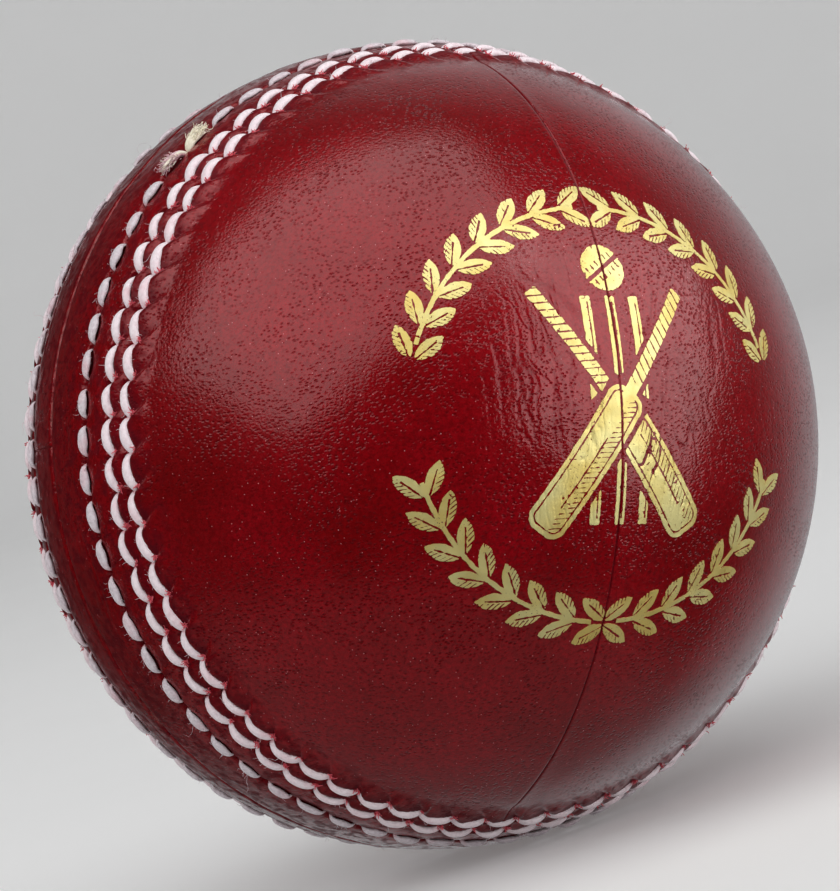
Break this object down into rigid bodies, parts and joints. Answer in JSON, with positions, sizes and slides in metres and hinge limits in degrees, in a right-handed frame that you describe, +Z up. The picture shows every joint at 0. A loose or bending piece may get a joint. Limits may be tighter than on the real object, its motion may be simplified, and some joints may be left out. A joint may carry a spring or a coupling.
{
  "type": "cricket ball",
  "caption": "Red leather cricket ball: stitched leather quarters with an upright raised seam of white thread round a wound cork centre, with a gold stamp.",
  "frame": {"origin": "centre of the ball, where the seam's plane meets the seam's axis", "axes": "+Z up with the seam standing upright like a wheel in the XZ plane; Y is the seam's axis, and -Y is the stamped front cup"},
  "size_m": [0.0728, 0.0709, 0.0728],
  "materials": {
    "red_leather": "dyed, waxed and lacquered to a high gloss",
    "seam_thread": "waxed linen thread, faintly stained with dye",
    "gold_foil": "hot-stamped gold foil with fine cracks",
    "worsted_yarn": "tight dry wool",
    "cork": "raw pressed cork"
  },
  "bodies": {
    "root": {"back_inner_thread": "seam_thread", "back_lower_quarter": "red_leather", "back_middle_thread": "seam_thread", "back_outer_thread": "seam_thread", "back_quarter_thread": "seam_thread", "back_upper_quarter": "red_leather", "cork_nucleus": "cork", "cork_strips_1": "cork", "cork_strips_2": "cork", "cork_strips_3": "cork", "cork_strips_4": "cork", "front_inner_thread": "seam_thread", "front_left_quarter": "red_leather", "front_middle_thread": "seam_thread", "front_outer_thread": "seam_thread", "front_quarter_thread": "seam_thread", "front_right_quarter": "red_leather", "gold_motif": "gold_foil", "gold_wreath": "gold_foil", "yarn_winding_1": "worsted_yarn", "yarn_winding_2": "worsted_yarn", "yarn_winding_3": "worsted_yarn", "yarn_winding_4": "worsted_yarn", "yarn_winding_5": "worsted_yarn"}
  },
  "joints": []
}
